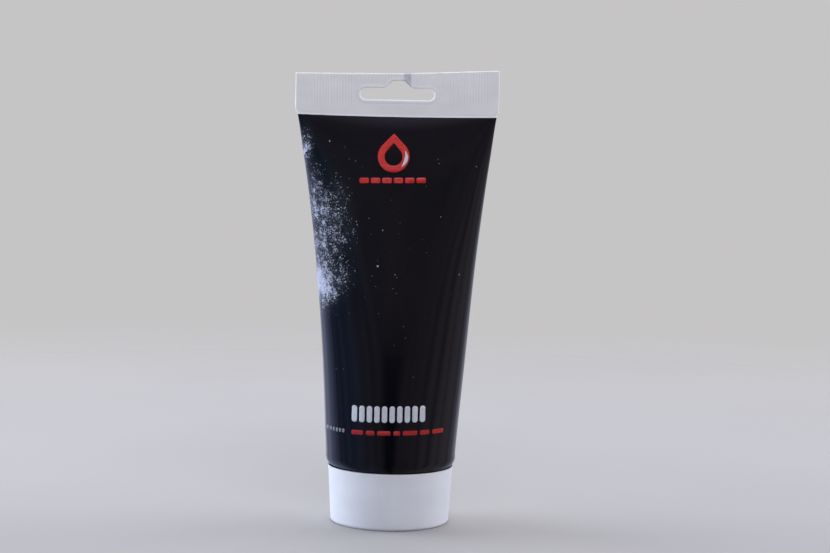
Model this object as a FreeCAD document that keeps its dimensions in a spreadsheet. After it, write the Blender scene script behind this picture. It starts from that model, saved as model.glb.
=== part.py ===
"""Squeeze tube of liquid chalk, standing upside down on its screw cap.

Frame: millimetres, +Z up, origin at the centre of the cap's standing ring. The flattened, crimped
end of the sleeve is at the top and lies along X. The neck points down into the cap.
"""
import FreeCAD, Part
import math
import os
import re
import Sketcher

# alias, value, meaning. Heights are above the surface that the cap stands on.
DIMENSIONS = (
    ("tube_radius", 25.0, "outside radius of the round end of the sleeve"),
    ("sleeve_wall", 0.5, "thickness of the extruded sleeve"),
    ("curl_radius", 5.0, "outside radius of the sleeve's rolled-in lower edge"),
    ("curl_centre_height", 25.65, "height of the centre of that roll"),
    ("flatten_start", 27.35, "height where the sleeve stops being round"),
    ("crimp_bottom", 160.7, "height where the two walls meet"),
    ("tube_top", 173.3, "height of the trimmed edge"),
    ("seal_thickness", 1.0, "the two walls fused together"),
    ("early_flare", 0.6, "share of the widening that is spread evenly over the height"),
    ("fullness", 0.5, "0 is an empty, flat-sided tube and 1 a fully inflated one"),
    ("slot_width", 28.8, "hang hole, end to end"),
    ("slot_height", 4.6, "hang hole, straight part"),
    ("slot_drop", 9.05, "from the trimmed edge down to the slot's centre line"),
    ("hump_width", 9.0, "raised middle of the hang hole"),
    ("hump_rise", 2.8, "height of that hump above the slot"),
    ("hump_corner", 2.2, "how far the slant at each corner of the hump reaches"),
    ("shoulder_slope", 12.0, "degrees that the shoulder falls towards the neck"),
    ("shoulder_thickness", 1.0, "wall of the moulded head inside the sleeve"),
    ("neck_radius", 7.8, "root radius of the neck's thread"),
    ("neck_bore", 6.0, "radius of the passage"),
    ("neck_tip", 4.0, "height of the neck's end face"),
    ("neck_chamfer", 0.6, "lead-in at the neck's end"),
    ("nozzle_wall", 1.2, "thickness of the perforated end of the neck"),
    ("orifice_radius", 2.5, "opening that the chalk is squeezed through"),
    ("thread_pitch", 3.0, "right-hand, one start"),
    ("thread_depth", 1.2, "from root to crest, on the neck and in the cap"),
    ("thread_root_width", 1.7, "width of a ridge where it leaves the wall"),
    ("thread_crest_width", 0.8, "width of a ridge at its crest"),
    ("neck_thread_start", 6.0, "height of the neck ridge's lower end"),
    ("neck_thread_rise", 7.5, "height that the neck's ridge climbs"),
    ("cap_thread_rise", 6.75, "height that the cap's ridge climbs"),
    ("thread_clearance", 0.3, "gap between crest and root"),
    ("cap_height", 21.9, "height of the cap's rim"),
    ("cap_base_radius", 22.75, "outside radius at the standing end"),
    ("cap_rim_radius", 24.0, "outside radius at the rim"),
    ("cap_wall", 1.5, "thickness of the cap's skirt"),
    ("cap_floor", 2.0, "height of the inside floor"),
    ("cap_base_round", 1.2, "radius of the standing edge"),
    ("rim_bevel", 1.25, "depth of the bevel that clears the sleeve's roll"),
    ("recess_radius", 17.0, "shallow recess inside the standing ring"),
    ("recess_depth", 0.6, "depth of that recess"),
    ("boss_wall", 1.6, "thickness of the threaded boss"),
    ("boss_top", 17.0, "height of the boss"),
    ("seat_height", 3.0, "height of the ledge under the liner"),
    ("seat_bore", 5.5, "inside radius of that ledge"),
    ("rib_thickness", 1.0, "radial ribs between boss and skirt"),
    ("rib_top_inside", 15.0, "rib height at the boss"),
    ("rib_top_outside", 12.0, "rib height at the skirt"),
    ("rib_count", 6, "ribs round the cap"),
    ("liner_radius", 9.0, "sealing disc in the cap"),
    ("liner_thickness", 1.0, "sealing disc in the cap"),
    ("chalk_gap", 0.2, "between the chalk and the walls round it"),
)
# How far up the flattened length each cross-section of the sleeve lies.
SLEEVE_STEPS = (0, 0.15, 0.35, 0.55, 0.75, 0.9, 0.99)
CHALK_STEPS = (0, 0.15, 0.35, 0.55, 0.75, 0.83)
EMBED = 0.3  # how deep a ridge or rib starts inside the wall that carries it
LEFT = 1
RIGHT = -1

doc = FreeCAD.newDocument("chalk_tube")
sheet = doc.addObject("Spreadsheet::Sheet", "Dimensions")
for row, (alias, number, meaning) in enumerate(DIMENSIONS, start=1):
    sheet.set(f"A{row}", alias)
    sheet.set(f"B{row}", str(number))
    sheet.setAlias(f"B{row}", alias)
    sheet.set(f"C{row}", meaning)
doc.recompute()

ALIAS = re.compile(r"\b(" + "|".join(entry[0] for entry in DIMENSIONS) + r")\b")


# ---------------------------------------------------------------- expressions


def bound(expression):
    """The expression with each alias spelled as a cell of the sheet."""
    return ALIAS.sub(r"Dimensions.\1", str(expression))


def value(expression):
    """The number that an expression of aliases gives now."""
    return float(sheet.evalExpression(bound(expression)))


def shoulder(radius, depth):
    """Height of the shoulder's cone at a radius, at a depth below its outer surface."""
    centre = "(tube_radius - curl_radius)"
    fall = f"(curl_radius - ({depth})) / cos(shoulder_slope * 1deg)"
    return f"curl_centre_height - {fall} + ({radius} - {centre}) * tan(shoulder_slope * 1deg)"


def curl_end(depth):
    """Radius and height where the sleeve's roll ends, at a depth below its outer surface."""
    reach = f"(curl_radius - ({depth}))"
    radius = f"tube_radius - curl_radius + {reach} * sin(shoulder_slope * 1deg)"
    height = f"curl_centre_height - {reach} * cos(shoulder_slope * 1deg)"
    return radius, height


def flare(step):
    """Share of the way from round to flat at a step up the sleeve."""
    return f"(early_flare * {step} + (1 - early_flare) * {step} ^ 3)"


def half_width(step):
    """Outside half width, from the round radius to half the flattened girth."""
    return f"tube_radius * (1 + (pi / 2 - 1) * {flare(step)})"


def half_depth(step):
    """Outside half depth, between flat facets and an ellipse of the round end's girth."""
    power = "log(2) / log(pi / 2)"
    rest = f"2 * pow(tube_radius; {power}) - pow({half_width(step)}; {power})"
    inflated = f"pow({rest}; 1 / ({power}))"
    return f"(1 - fullness) * tube_radius * (1 - {flare(step)}) + fullness * {inflated}"


def step_height(step):
    """Height of a step up the flattened length."""
    return f"flatten_start + {step} * (crimp_bottom - flatten_start)"


# ---------------------------------------------------------------- sketches and features


def new_body(label):
    """An empty PartDesign body that will be written under its label."""
    body = doc.addObject("PartDesign::Body", label)
    body.Label = label
    body.Placement = FreeCAD.Placement()
    return body


def new_sketch(body, name, plane, height=None):
    """A sketch on one of the body's own origin planes, raised to a height if one is given."""
    sketch = body.newObject("Sketcher::SketchObject", name)
    support = [part for part in body.Origin.OriginFeatures if part.Role == plane]
    sketch.AttachmentSupport = [(support[0], "")]
    sketch.MapMode = "FlatFace"
    if height:
        sketch.setExpression("AttachmentOffset.Base.z", bound(height))
    return sketch


def constrain(sketch, name, kind, elements, expression):
    """One named dimension of a sketch, bound to the sheet."""
    index = sketch.addConstraint(Sketcher.Constraint(kind, *elements, value(expression)))
    sketch.renameConstraint(index, name)
    sketch.setExpression(f"Constraints.{name}", bound(expression))


def arc_between(start, end, radius, turn):
    """The shorter arc from start to end, turning LEFT or RIGHT, as an anticlockwise curve."""
    chord = end - start
    rise = math.sqrt(radius**2 - chord.Length**2 / 4)
    across = FreeCAD.Vector(-chord.y, chord.x, 0).normalize()
    centre = (start + end) / 2 + across * (rise * turn)
    first, last = (start, end) if turn == LEFT else (end, start)
    low = math.atan2(first.y - centre.y, first.x - centre.x)
    high = math.atan2(last.y - centre.y, last.x - centre.x)
    if high < low:
        high += 2 * math.pi
    return Part.ArcOfCircle(Part.Circle(centre, FreeCAD.Vector(0, 0, 1), radius), low, high)


def outline(sketch, corners):
    """A closed outline whose corners are placed by two expressions, (x, y).

    A corner written (x, y, radius, turn) is left along an arc, the others along a straight line.
    """
    points = [FreeCAD.Vector(value(corner[0]), value(corner[1]), 0) for corner in corners]
    ends = []  # the element's own numbers for where the outline enters and leaves it
    for corner, start, end in zip(corners, points, points[1:] + points[:1]):
        if len(corner) == 2:
            sketch.addGeometry(Part.LineSegment(start, end))
            ends.append((1, 2))
        else:
            sketch.addGeometry(arc_between(start, end, value(corner[2]), corner[3]))
            ends.append((1, 2) if corner[3] == LEFT else (2, 1))
    for index, corner in enumerate(corners):
        before = (index - 1) % len(corners)
        enter = ends[index][0]
        joined = Sketcher.Constraint("Coincident", before, ends[before][1], index, enter)
        sketch.addConstraint(joined)
        if value(corner[0]) == 0:
            sketch.addConstraint(Sketcher.Constraint("PointOnObject", index, enter, -2))
        else:
            place = (-1, 1, index, enter)
            constrain(sketch, f"corner{index}_x", "DistanceX", place, corner[0])
        if value(corner[1]) == 0:
            sketch.addConstraint(Sketcher.Constraint("PointOnObject", index, enter, -1))
        else:
            place = (-1, 1, index, enter)
            constrain(sketch, f"corner{index}_y", "DistanceY", place, corner[1])
        if len(corner) > 2:
            constrain(sketch, f"corner{index}_radius", "Radius", (index,), corner[2])


def circle(sketch, radius):
    """A circle about the sketch's origin."""
    sketch.addGeometry(Part.Circle(FreeCAD.Vector(), FreeCAD.Vector(0, 0, 1), value(radius)))
    sketch.addConstraint(Sketcher.Constraint("Coincident", 0, 3, -1, 1))
    constrain(sketch, "radius", "Radius", (0,), radius)


def ellipse(sketch, half_x, half_y):
    """An ellipse about the sketch's origin, longer along X."""
    sketch.addGeometry(Part.Ellipse(FreeCAD.Vector(), value(half_x), value(half_y)))
    sketch.exposeInternalGeometry(0)
    sketch.addConstraint(Sketcher.Constraint("Coincident", 0, 3, -1, 1))
    sketch.addConstraint(Sketcher.Constraint("Horizontal", 1))
    constrain(sketch, "long_axis", "Distance", (1,), f"2 * ({half_x})")
    constrain(sketch, "short_axis", "Distance", (2,), f"2 * ({half_y})")


def slot(sketch, width, height, centre_height):
    """A slot with round ends, lying along the sketch's horizontal axis."""
    radius = value(height) / 2
    reach = value(width) / 2 - radius
    level = value(centre_height)
    low_left = FreeCAD.Vector(-reach, level - radius, 0)
    low_right = FreeCAD.Vector(reach, level - radius, 0)
    high_right = FreeCAD.Vector(reach, level + radius, 0)
    high_left = FreeCAD.Vector(-reach, level + radius, 0)
    right_tip = FreeCAD.Vector(reach + radius, level, 0)
    left_tip = FreeCAD.Vector(-reach - radius, level, 0)
    sketch.addGeometry(Part.LineSegment(low_left, low_right))
    sketch.addGeometry(Part.Arc(low_right, right_tip, high_right))
    sketch.addGeometry(Part.LineSegment(high_right, high_left))
    sketch.addGeometry(Part.Arc(high_left, left_tip, low_left))
    for element in range(4):
        sketch.addConstraint(Sketcher.Constraint("Tangent", element, 2, (element + 1) % 4, 1))
    sketch.addConstraint(Sketcher.Constraint("Horizontal", 0))
    sketch.addConstraint(Sketcher.Constraint("Equal", 1, 3))
    constrain(sketch, "end_radius", "Radius", (1,), f"{height} / 2")
    constrain(sketch, "right_centre", "DistanceX", (-1, 1, 1, 3), f"({width} - {height}) / 2")
    constrain(sketch, "left_centre", "DistanceX", (-1, 1, 3, 3), f"({height} - {width}) / 2")
    constrain(sketch, "level", "DistanceY", (-1, 1, 1, 3), centre_height)


def revolve(body, name, corners):
    """A turned solid: half its section, with corners as (radius, height)."""
    sketch = new_sketch(body, f"{name}_section", "XZ_Plane")
    outline(sketch, corners)
    feature = body.newObject("PartDesign::Revolution", name)
    feature.Profile = sketch
    feature.ReferenceAxis = (sketch, ["V_Axis"])
    feature.Angle = 360
    doc.recompute()
    return feature


def round_edges(body, name, base, radius, places):
    """A fillet on the circular edges of base at each (radius, height) in places."""
    names = []
    for edge_radius, edge_height in places:
        for number, edge in enumerate(base.Shape.Edges, start=1):
            curve = edge.Curve
            if not isinstance(curve, Part.Circle):
                continue
            same_radius = abs(curve.Radius - value(edge_radius)) < 1e-4
            same_height = abs(curve.Center.z - value(edge_height)) < 1e-4
            if same_radius and same_height:
                names.append(f"Edge{number}")
    assert len(names) == len(places), f"{name} found {len(names)} edges"
    fillet = body.newObject("PartDesign::Fillet", name)
    fillet.Base = (base, names)
    fillet.setExpression("Radius", bound(radius))
    doc.recompute()
    return fillet


def loft(body, kind, name, sections):
    """An additive or subtractive loft through sketches, from the lowest up."""
    feature = body.newObject(f"PartDesign::{kind}", name)
    feature.Profile = sections[0]
    feature.Sections = sections[1:]
    doc.recompute()
    return feature


def sleeve_section(body, name, step, inset):
    """The sleeve's cross-section at a step, moved inwards by an inset."""
    sketch = new_sketch(body, name, "XY_Plane", step_height(step))
    if step == 0:
        circle(sketch, f"tube_radius - {inset}")
    else:
        ellipse(sketch, f"{half_width(step)} - {inset}", f"{half_depth(step)} - {inset}")
    return sketch


def ridge(body, name, wall_radius, outward, start_height, rise):
    """A helical thread ridge on the wall at wall_radius, outward (1) or inward (-1)."""
    root = f"{wall_radius} - {outward * EMBED}"
    crest = f"{wall_radius} + {outward} * thread_depth"
    sketch = new_sketch(body, f"{name}_section", "XZ_Plane")
    outline(
        sketch,
        (
            (root, f"{start_height} - thread_root_width / 2"),
            (crest, f"{start_height} - thread_crest_width / 2"),
            (crest, f"{start_height} + thread_crest_width / 2"),
            (root, f"{start_height} + thread_root_width / 2"),
        ),
    )
    doc.recompute()
    helix = body.newObject("PartDesign::AdditiveHelix", name)
    helix.Profile = sketch
    helix.ReferenceAxis = (sketch, ["V_Axis"])
    helix.Mode = "pitch-height-angle"
    helix.setExpression("Pitch", bound("thread_pitch"))
    helix.setExpression("Height", bound(rise))
    helix.LeftHanded = False
    doc.recompute()
    return helix


# ---------------------------------------------------------------- the pieces


def make_sleeve():
    """Printed sleeve: a rolled lower edge, a wall that flattens upwards, a crimp and a hang hole."""
    body = new_body("tube_sleeve")
    inside = "tube_radius - sleeve_wall"
    revolve(
        body,
        "RolledEdge",
        (
            ("tube_radius", "flatten_start"),
            (inside, "flatten_start"),
            (inside, "curl_centre_height", "curl_radius - sleeve_wall", RIGHT),
            curl_end("sleeve_wall"),
            curl_end("0") + ("curl_radius", LEFT),
            ("tube_radius", "curl_centre_height"),
        ),
    )
    outer = [
        sleeve_section(body, f"Outside{number}", step, "0")
        for number, step in enumerate(SLEEVE_STEPS)
    ]
    flat = new_sketch(body, "OutsideFlat", "XY_Plane", "crimp_bottom")
    ellipse(flat, "tube_radius * pi / 2", "seal_thickness / 2")
    loft(body, "AdditiveLoft", "FlattenedWall", outer + [flat])
    inner = [
        sleeve_section(body, f"Inside{number}", step, "sleeve_wall")
        for number, step in enumerate(SLEEVE_STEPS)
    ]
    loft(body, "SubtractiveLoft", "Hollow", inner)

    band = new_sketch(body, "SealOutline", "XZ_Plane")
    outline(
        band,
        (
            ("-tube_radius * pi / 2", "crimp_bottom"),
            ("tube_radius * pi / 2", "crimp_bottom"),
            ("tube_radius * pi / 2", "tube_top"),
            ("-tube_radius * pi / 2", "tube_top"),
        ),
    )
    seal = body.newObject("PartDesign::Pad", "CrimpedSeal")
    seal.Profile = band
    seal.SideType = "Symmetric"
    seal.setExpression("Length", bound("seal_thickness"))
    doc.recompute()
    cut_hang_hole(body)
    return body


def cut_hang_hole(body):
    """A long slot with a raised middle, through the crimped seal."""
    opening = new_sketch(body, "SlotOutline", "XZ_Plane")
    slot(opening, "slot_width", "slot_height", "tube_top - slot_drop")
    hump = new_sketch(body, "HumpOutline", "XZ_Plane")
    low = "tube_top - slot_drop"
    shelf = "tube_top - slot_drop + slot_height / 2 + hump_rise - hump_corner"
    high = "tube_top - slot_drop + slot_height / 2 + hump_rise"
    side = "hump_width / 2"
    inset = "(hump_width / 2 - hump_corner)"
    outline(
        hump,
        (
            (f"-{side}", low),
            (side, low),
            (side, shelf),
            (inset, high),
            (f"-{inset}", high),
            (f"-{side}", shelf),
        ),
    )
    for name, profile in (("HangSlot", opening), ("HangHump", hump)):
        pocket = body.newObject("PartDesign::Pocket", name)
        pocket.Profile = profile
        pocket.SideType = "Symmetric"
        pocket.setExpression("Length", bound("3 * seal_thickness"))
        doc.recompute()


def make_head():
    """Moulded shoulder and threaded neck, welded inside the sleeve's rolled edge."""
    body = new_body("tube_head")
    seat_radius = "tube_radius - sleeve_wall"
    inner_depth = "sleeve_wall + shoulder_thickness"
    rim_radius = f"tube_radius - ({inner_depth})"
    revolve(
        body,
        "ShoulderAndNeck",
        (
            ("orifice_radius", "neck_tip"),
            ("neck_radius - neck_chamfer", "neck_tip"),
            ("neck_radius", "neck_tip + neck_chamfer"),
            ("neck_radius", shoulder("neck_radius", "0")),
            curl_end("0"),
            curl_end("sleeve_wall") + ("curl_radius - sleeve_wall", LEFT),
            (seat_radius, "curl_centre_height"),
            (rim_radius, "curl_centre_height", f"curl_radius - ({inner_depth})", RIGHT),
            curl_end(inner_depth),
            ("neck_bore", shoulder("neck_bore", inner_depth)),
            ("neck_bore", "neck_tip + nozzle_wall"),
            ("orifice_radius", "neck_tip + nozzle_wall"),
        ),
    )
    ridge(body, "NeckThread", "neck_radius", 1, "neck_thread_start", "neck_thread_rise")
    return body


def make_cap():
    """Screw cap: tapered skirt, flat end, threaded boss, liner ledge and radial ribs."""
    body = new_body("screw_cap")
    boss_bore = "neck_radius + thread_depth + thread_clearance"
    turned = revolve(
        body,
        "SkirtAndBoss",
        (
            ("0", "recess_depth"),
            ("recess_radius", "recess_depth"),
            ("recess_radius", "0"),
            ("cap_base_radius", "0"),
            ("cap_rim_radius", "cap_height"),
            ("cap_rim_radius - cap_wall", "cap_height - rim_bevel"),
            ("cap_base_radius - cap_wall", "cap_floor"),
            (f"{boss_bore} + boss_wall", "cap_floor"),
            (f"{boss_bore} + boss_wall", "boss_top"),
            (boss_bore, "boss_top"),
            (boss_bore, "seat_height"),
            ("seat_bore", "seat_height"),
            ("seat_bore", "cap_floor"),
            ("0", "cap_floor"),
        ),
    )
    round_edges(body, "StandingEdge", turned, "cap_base_round", [("cap_base_radius", "0")])
    start = "neck_thread_start + thread_pitch / 2"
    ridge(body, "CapThread", f"({boss_bore})", -1, start, "cap_thread_rise")

    section = new_sketch(body, "RibOutline", "XZ_Plane")
    boss_side = f"{boss_bore} + boss_wall - {EMBED}"
    skirt_side = f"cap_base_radius - cap_wall + {EMBED}"
    taper = "(cap_rim_radius - cap_base_radius) * rib_top_outside / cap_height"
    outline(
        section,
        (
            (boss_side, f"cap_floor - {EMBED}"),
            (skirt_side, f"cap_floor - {EMBED}"),
            (f"{skirt_side} + {taper}", "rib_top_outside"),
            (boss_side, "rib_top_inside"),
        ),
    )
    rib = body.newObject("PartDesign::Pad", "Rib")
    rib.Profile = section
    rib.SideType = "Symmetric"
    rib.setExpression("Length", bound("rib_thickness"))
    doc.recompute()
    ribs = body.newObject("PartDesign::PolarPattern", "Ribs")
    ribs.Originals = [rib]
    ribs.Axis = (section, ["V_Axis"])
    ribs.Angle = 360
    ribs.setExpression("Occurrences", bound("rib_count"))
    body.Tip = ribs
    doc.recompute()
    return body


def make_liner():
    """Foam disc that the end of the neck presses on."""
    body = new_body("cap_liner")
    section = new_sketch(body, "LinerOutline", "XY_Plane", "seat_height")
    circle(section, "liner_radius")
    disc = body.newObject("PartDesign::Pad", "LinerDisc")
    disc.Profile = section
    disc.setExpression("Length", bound("liner_thickness"))
    doc.recompute()
    return body


def make_chalk():
    """The liquid chalk: it fills the neck, the shoulder and the sleeve up to its level."""
    body = new_body("liquid_chalk")
    core = "neck_bore - chalk_gap"
    depth = "sleeve_wall + shoulder_thickness + chalk_gap"
    rim = f"tube_radius - ({depth})"
    wall = "tube_radius - sleeve_wall - chalk_gap"
    revolve(
        body,
        "ShoulderFill",
        (
            ("0", "neck_tip + nozzle_wall + chalk_gap"),
            (core, "neck_tip + nozzle_wall + chalk_gap"),
            (core, shoulder(f"({core})", depth)),
            curl_end(depth) + (f"curl_radius - ({depth})", LEFT),
            (rim, "curl_centre_height"),
            (rim, "curl_centre_height + chalk_gap"),
            (wall, "curl_centre_height + chalk_gap"),
            (wall, "flatten_start"),
            ("0", "flatten_start"),
        ),
    )
    sections = [
        sleeve_section(body, f"Level{number}", step, "(sleeve_wall + chalk_gap)")
        for number, step in enumerate(CHALK_STEPS)
    ]
    loft(body, "AdditiveLoft", "SleeveFill", sections)
    return body


# ---------------------------------------------------------------- checks and export


def check_document():
    """Stop if any object of the document has failed."""
    for item in doc.Objects:
        failed = {"Invalid", "Error"} & set(item.State)
        assert not failed, f"{item.Name} is {item.State}"


def check_piece(body):
    """Stop unless the piece is one valid, closed solid."""
    shape = body.Shape
    assert not shape.isNull() and shape.isValid(), f"{body.Label} has no valid shape"
    assert len(shape.Solids) == 1, f"{body.Label} has {len(shape.Solids)} solids"
    box = shape.BoundBox
    low = f"{box.XMin:.2f} {box.YMin:.2f} {box.ZMin:.2f}"
    high = f"{box.XMax:.2f} {box.YMax:.2f} {box.ZMax:.2f}"
    print(f"{body.Label}: {shape.Volume / 1000:.2f} ml, box {low} to {high}")


pieces = [make_sleeve(), make_head(), make_cap(), make_liner(), make_chalk()]
doc.recompute()
check_document()
os.makedirs("parts", exist_ok=True)
for piece in pieces:
    check_piece(piece)
for piece in pieces:
    piece.Shape.exportStep(f"parts/{piece.Label}.step")
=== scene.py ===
"""Looks of a squeeze tube of liquid chalk that stands on its screw cap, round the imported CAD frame.

Everything is in metres in the frame's own axes: +Z up, the printed front faces -Y. The sleeve's
girth is the same at every height, and only its cross-section changes from round to flat.
"""
import math
import random

import bmesh
import bpy
import numpy as np
from mathutils import Matrix, Vector, noise


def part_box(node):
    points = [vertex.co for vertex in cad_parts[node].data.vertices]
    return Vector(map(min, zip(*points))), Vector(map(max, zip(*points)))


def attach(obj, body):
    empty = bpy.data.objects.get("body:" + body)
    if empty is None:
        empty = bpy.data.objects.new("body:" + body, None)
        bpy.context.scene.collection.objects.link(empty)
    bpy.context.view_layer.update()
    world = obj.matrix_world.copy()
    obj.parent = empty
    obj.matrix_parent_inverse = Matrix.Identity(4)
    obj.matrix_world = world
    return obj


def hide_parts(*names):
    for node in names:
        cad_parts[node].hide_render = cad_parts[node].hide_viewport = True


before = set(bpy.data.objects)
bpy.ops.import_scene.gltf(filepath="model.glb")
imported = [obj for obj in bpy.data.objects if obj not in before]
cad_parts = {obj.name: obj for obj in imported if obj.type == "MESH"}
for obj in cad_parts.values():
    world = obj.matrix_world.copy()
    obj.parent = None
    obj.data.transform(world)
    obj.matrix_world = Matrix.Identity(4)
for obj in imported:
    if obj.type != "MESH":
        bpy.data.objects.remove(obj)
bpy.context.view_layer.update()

MM = 0.001
TUBE = "tube"

sleeve_low, sleeve_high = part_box("tube_sleeve")
CHALK_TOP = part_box("liquid_chalk")[1].z

# ---------------------------------------------------------------- sizes of the sleeve

RADIUS = sleeve_high.y
WALL = 0.5 * MM
TOP = sleeve_high.z
GIRTH_QUARTER = math.pi * RADIUS / 2
ROLL_RADIUS = 5 * MM
ROLL_END = math.radians(78)
ROLL_Z = sleeve_low.z + ROLL_RADIUS * math.sin(ROLL_END)
FLATTEN_Z = ROLL_Z + 1.7 * MM
CRIMP_Z = TOP - 12.6 * MM
SEAL_Z = TOP - 16 * MM
BAND_Z = TOP - 15.6 * MM
BAND_LAP = 2.6 * MM
BAND_BURY = 0.05 * MM
RIB_LOW_Z = TOP - 13.5 * MM
PRINT_TOP_Z = TOP - 17.2 * MM
PRINT_SAG = 0.45 * MM
SEAL_HALF_WIDTH = math.pi / 2 * (RADIUS - WALL / 2)
EARLY_FLARE = 0.6
FRONT_BULGE = 0.5
FACET_START = 0.29
FACET_SPREAD = 41 * MM
SWAY = 0.68 * MM
NARROWING = 0.4 * MM
DENT_DEPTH = 0.22 * MM
DENT_PITCH, DENT_RISE = 0.030, 0.042
FLUTE_DEPTH = 0.045 * MM
FLUTE_PITCH, FLUTE_RISE = 0.0055, 0.090
SEAL_HALF = 0.5 * MM

QUARTER = 72
ROLL_ROWS = 10
FLATTEN_ROWS = 112

# ---------------------------------------------------------------- the sleeve's form


def climb(z):
    """How far up the flattening length a height is, from 0 to 1."""
    return min(max((z - FLATTEN_Z) / (CRIMP_Z - FLATTEN_Z), 0.0), 1.0)


def ease(item, low, high):
    """0 below low and 1 above high, smooth between."""
    share = min(max((item - low) / (high - low), 0.0), 1.0)
    return share * share * (3 - 2 * share)


def lapped(z):
    """How far a height is up the lap where the crimped band comes out through the wall's skin."""
    return min(max((z - BAND_Z) / BAND_LAP, 0.0), 1.0)


def spread(z):
    """Half the width that a round girth takes as it flattens."""
    step = climb(z)
    flare = EARLY_FLARE * step + (1 - EARLY_FLARE) * step**3
    return RADIUS * (1 + (math.pi / 2 - 1) * flare)


def half_width(z):
    """Half the sleeve's width at a height: a spreading wall, then the even width of the seal."""
    free = spread(z) - NARROWING * ease(climb(z), 0.85, 0.97)
    sealed = ease(z, PRINT_TOP_Z + 0.4 * MM, PRINT_TOP_Z + 2.5 * MM)
    return free + (SEAL_HALF_WIDTH - free) * sealed


def form_height(z):
    """Height on the free-flattening form: above the chalk it runs ahead, to be flat at the seal."""
    start = CHALK_TOP + 1 * MM
    share = min(max((z - start) / (SEAL_Z - start), 0.0), 1.0)
    return z + (CRIMP_Z - SEAL_Z) * share


def quarter_section(z):
    """A quarter of the cross-section, from the middle of the front to the side.

    The curvature is low and even across the flat facet, then rises as a power of the distance
    along the wall. The power is found by halving, so that the side lands at the half width.
    """
    form_z = form_height(z)
    step = climb(form_z)
    distance = np.linspace(0, GIRTH_QUARTER, QUARTER + 1)
    pitch = distance[1]
    facet = min(FACET_SPREAD * max(step - FACET_START, 0), GIRTH_QUARTER - MM)
    beyond = np.clip((distance - facet) / (GIRTH_QUARTER - facet), 0, 1)
    front = FRONT_BULGE / RADIUS * (1 - step)
    low, high = 0.0, 60.0
    for _ in range(40):
        power = (low + high) / 2
        rise = beyond**power
        amount = (math.pi / 2 - front * GIRTH_QUARTER) / (rise[1:].sum() * pitch)
        turned = np.cumsum((front + amount * rise[1:]) * pitch)
        heading = turned - (front + amount * rise[1:]) * pitch / 2
        x = np.concatenate([[0], np.cumsum(np.cos(heading) * pitch)])
        fall = np.concatenate([[0], np.cumsum(np.sin(heading) * pitch)])
        if x[-1] < spread(form_z):
            low = power
        else:
            high = power
    depth = fall[-1] - fall
    middle = max(depth[0], SEAL_HALF - BAND_BURY * lapped(z))
    return x * half_width(z) / x[-1], depth * middle / depth[0]


def ring(z, inset):
    """The whole cross-section as points (x, y), anticlockwise from the middle of the front."""
    x, depth = quarter_section(z)
    x = x * (1 - inset / x[-1])
    depth = depth * (1 - min(inset / depth[0], 0.8))
    right_x = np.concatenate([x[:-1], x[::-1][:-1]])
    right_y = np.concatenate([-depth[:-1], depth[::-1][:-1]])
    all_x = np.concatenate([right_x, -right_x])
    all_y = np.concatenate([right_y, -right_y])
    return all_x + SWAY * math.sin(math.pi * climb(z)), all_y


def relief(x, y, z):
    """How far the wall stands in or out of its smooth form: soft dents and faint upright flutes."""
    near_end = min(climb(z) / 0.12, max(BAND_Z - z, 0) / (13 * MM), 1.0)
    dents = noise.noise(Vector((x / DENT_PITCH, y / DENT_PITCH, z / DENT_RISE + 3.1)))
    flutes = noise.noise(Vector((x / FLUTE_PITCH, y / FLUTE_PITCH + 9.4, z / FLUTE_RISE)))
    return near_end * (DENT_DEPTH * dents + FLUTE_DEPTH * flutes)


def sleeve_heights():
    """Heights of the rows above the roll, with one row exactly on the print's upper edge."""
    below = np.linspace(FLATTEN_Z, PRINT_TOP_Z, FLATTEN_ROWS)
    above = np.linspace(PRINT_TOP_Z, BAND_Z + BAND_LAP, 12)[1:]
    return list(below) + list(above)


def sleeve_row(z, inset):
    """One row of points round the sleeve at a height, dented and sagging near the print's edge."""
    xs, ys = ring(z, inset)
    width = half_width(z)
    near_print = max(0.0, 1 - abs(z - PRINT_TOP_Z) / (16 * MM))
    row = []
    for index, (x, y) in enumerate(zip(xs, ys)):
        ahead = (index + 1) % len(xs)
        along = Vector((xs[ahead] - xs[index - 1], ys[ahead] - ys[index - 1], 0))
        outward = Vector((along.y, -along.x, 0)).normalized()
        point = Vector((x, y, z)) + outward * relief(x, y, z)
        point.z -= PRINT_SAG * near_print * (1 - (x / width) ** 2)
        row.append(point)
    return row


def roll_row(angle, inset):
    """One row round the rolled lower edge, at an angle below its widest point."""
    reach = ROLL_RADIUS - inset
    radius = RADIUS - ROLL_RADIUS + reach * math.cos(angle)
    height = ROLL_Z - reach * math.sin(angle)
    count = 4 * QUARTER
    turns = [math.tau * index / count - math.pi / 2 for index in range(count)]
    return [Vector((radius * math.cos(turn), radius * math.sin(turn), height)) for turn in turns]


def sleeve_rows(inset):
    """All rows of one skin of the sleeve, from the end of its roll up to the crimp."""
    angles = np.linspace(ROLL_END, 0, ROLL_ROWS)
    rows = [roll_row(angle, inset) for angle in angles]
    return rows + [sleeve_row(z, inset) for z in sleeve_heights()]


OUTSIDE = sleeve_rows(0.0)
ROW_Z = np.array([row[0].z for row in OUTSIDE])


def front_point(x, z, lift=0.0):
    """The point of the front wall at x, z, lifted off it."""
    above = int(np.clip(np.searchsorted(ROW_Z, z), 1, len(ROW_Z) - 1))
    share = (z - ROW_Z[above - 1]) / (ROW_Z[above] - ROW_Z[above - 1])
    places = []
    for row in (OUTSIDE[above - 1], OUTSIDE[above]):
        wall = row[3 * QUARTER :] + row[: QUARTER + 1]
        places.append(np.interp(x, [p.x for p in wall], [p.y for p in wall]))
    return Vector((x, places[0] * (1 - share) + places[1] * share - lift, z))


def front_normal(x, z):
    """Outward direction of the front wall at x, z."""
    step = 0.4 * MM
    across = front_point(x + step, z) - front_point(x - step, z)
    upward = front_point(x, z + step) - front_point(x, z - step)
    return across.cross(upward).normalized()


# ---------------------------------------------------------------- mesh helpers


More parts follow.
